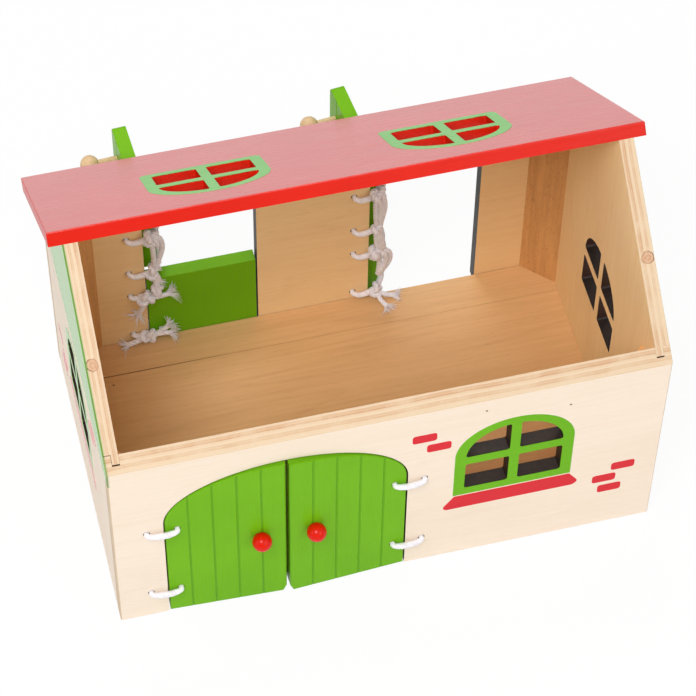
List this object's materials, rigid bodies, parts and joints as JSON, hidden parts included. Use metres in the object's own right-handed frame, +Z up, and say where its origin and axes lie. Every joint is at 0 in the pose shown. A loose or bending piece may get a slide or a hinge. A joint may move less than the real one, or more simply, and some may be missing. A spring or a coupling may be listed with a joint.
{
  "type": "toy barn with opening doors",
  "caption": "Open-fronted wooden toy barn with a half roof, arched windows, an arched pair of front doors and split rear doors that swing on knotted cord hinges.",
  "frame": {"origin": "middle of the four walls' footprint, on the underside of the walls, at the level of the surface the barn stands on", "axes": "+X to the right along the front wall as seen from the front, +Y from the front wall to the rear wall, +Z up"},
  "size_m": [0.377, 0.3136, 0.2696],
  "materials": {
    "wall_wood": "painted cream outside, bare sanded plywood inside",
    "roof_paint": "semi-gloss red paint on top, bare plywood below",
    "door_paint": "satin green paint on both sides and all edges",
    "natural_wood": "bare sanded wood",
    "bead_paint": "gloss red lacquer",
    "cotton_cord": "twisted cotton cord"
  },
  "bodies": {
    "barn": {"front_wall": "wall_wood", "rear_wall": "wall_wood", "left_gable_wall": "wall_wood", "right_gable_wall": "wall_wood", "roof_panel": "roof_paint", "floor_front_board": "natural_wood", "floor_rear_board": "natural_wood", "front_left_corner_block": "natural_wood", "front_right_corner_block": "natural_wood", "rear_left_corner_block": "natural_wood", "rear_right_corner_block": "natural_wood", "front_left_upper_lashing": "cotton_cord", "front_left_lower_lashing": "cotton_cord", "rear_left_upper_top_lashing": "cotton_cord", "rear_left_upper_bottom_lashing": "cotton_cord", "rear_left_lower_top_lashing": "cotton_cord", "rear_left_lower_bottom_lashing": "cotton_cord", "front_right_upper_lashing": "cotton_cord", "front_right_lower_lashing": "cotton_cord", "rear_right_upper_top_lashing": "cotton_cord", "rear_right_upper_bottom_lashing": "cotton_cord", "rear_right_lower_top_lashing": "cotton_cord", "rear_right_lower_bottom_lashing": "cotton_cord"},
    "front_left_door": {"front_left_door": "door_paint", "front_left_knob": "bead_paint", "front_left_knob_dowel": "natural_wood"},
    "front_right_door": {"front_right_door": "door_paint", "front_right_knob": "bead_paint", "front_right_knob_dowel": "natural_wood"},
    "rear_left_upper_door": {"rear_left_upper_door": "door_paint", "rear_left_upper_knob": "natural_wood", "rear_left_upper_knob_dowel": "natural_wood"},
    "rear_left_lower_door": {"rear_left_lower_door": "door_paint", "rear_left_lower_knob": "natural_wood", "rear_left_lower_knob_dowel": "natural_wood"},
    "rear_right_upper_door": {"rear_right_upper_door": "door_paint", "rear_right_upper_knob": "natural_wood", "rear_right_upper_knob_dowel": "natural_wood"},
    "rear_right_lower_door": {"rear_right_lower_door": "door_paint", "rear_right_lower_knob": "natural_wood", "rear_right_lower_knob_dowel": "natural_wood"}
  },
  "joints": [
    {"name": "front_left_hinge", "type": "hinge", "parent": "barn", "child": "front_left_door", "pos_m": [-0.1472, -0.1116, 0.07], "axis": [0, 0, -1], "range_deg": [-2.3, 165], "deforming": ["front_left_upper_lashing", "front_left_lower_lashing"]},
    {"name": "front_right_hinge", "type": "hinge", "parent": "barn", "child": "front_right_door", "pos_m": [0.0106, -0.1116, 0.07], "axis": [0, 0, 1], "range_deg": [-3.2, 165], "deforming": ["front_right_upper_lashing", "front_right_lower_lashing"]},
    {"name": "rear_left_lower_hinge", "type": "hinge", "parent": "barn", "child": "rear_left_lower_door", "pos_m": [-0.1164, 0.1116, 0.038], "axis": [0, 0, 1], "range_deg": [0, 155], "deforming": ["rear_left_lower_top_lashing", "rear_left_lower_bottom_lashing"]},
    {"name": "rear_left_upper_hinge", "type": "hinge", "parent": "barn", "child": "rear_left_upper_door", "pos_m": [-0.1164, 0.1116, 0.106], "axis": [0, 0, 1], "range_deg": [-93, 62], "deforming": ["rear_left_upper_top_lashing", "rear_left_upper_bottom_lashing"]},
    {"name": "rear_right_lower_hinge", "type": "hinge", "parent": "barn", "child": "rear_right_lower_door", "pos_m": [0.0396, 0.1116, 0.038], "axis": [0, 0, 1], "range_deg": [-94, 61], "deforming": ["rear_right_lower_top_lashing", "rear_right_lower_bottom_lashing"]},
    {"name": "rear_right_upper_hinge", "type": "hinge", "parent": "barn", "child": "rear_right_upper_door", "pos_m": [0.0396, 0.1116, 0.106], "axis": [0, 0, 1], "range_deg": [-96, 59], "deforming": ["rear_right_upper_top_lashing", "rear_right_upper_bottom_lashing"]}
  ]
}
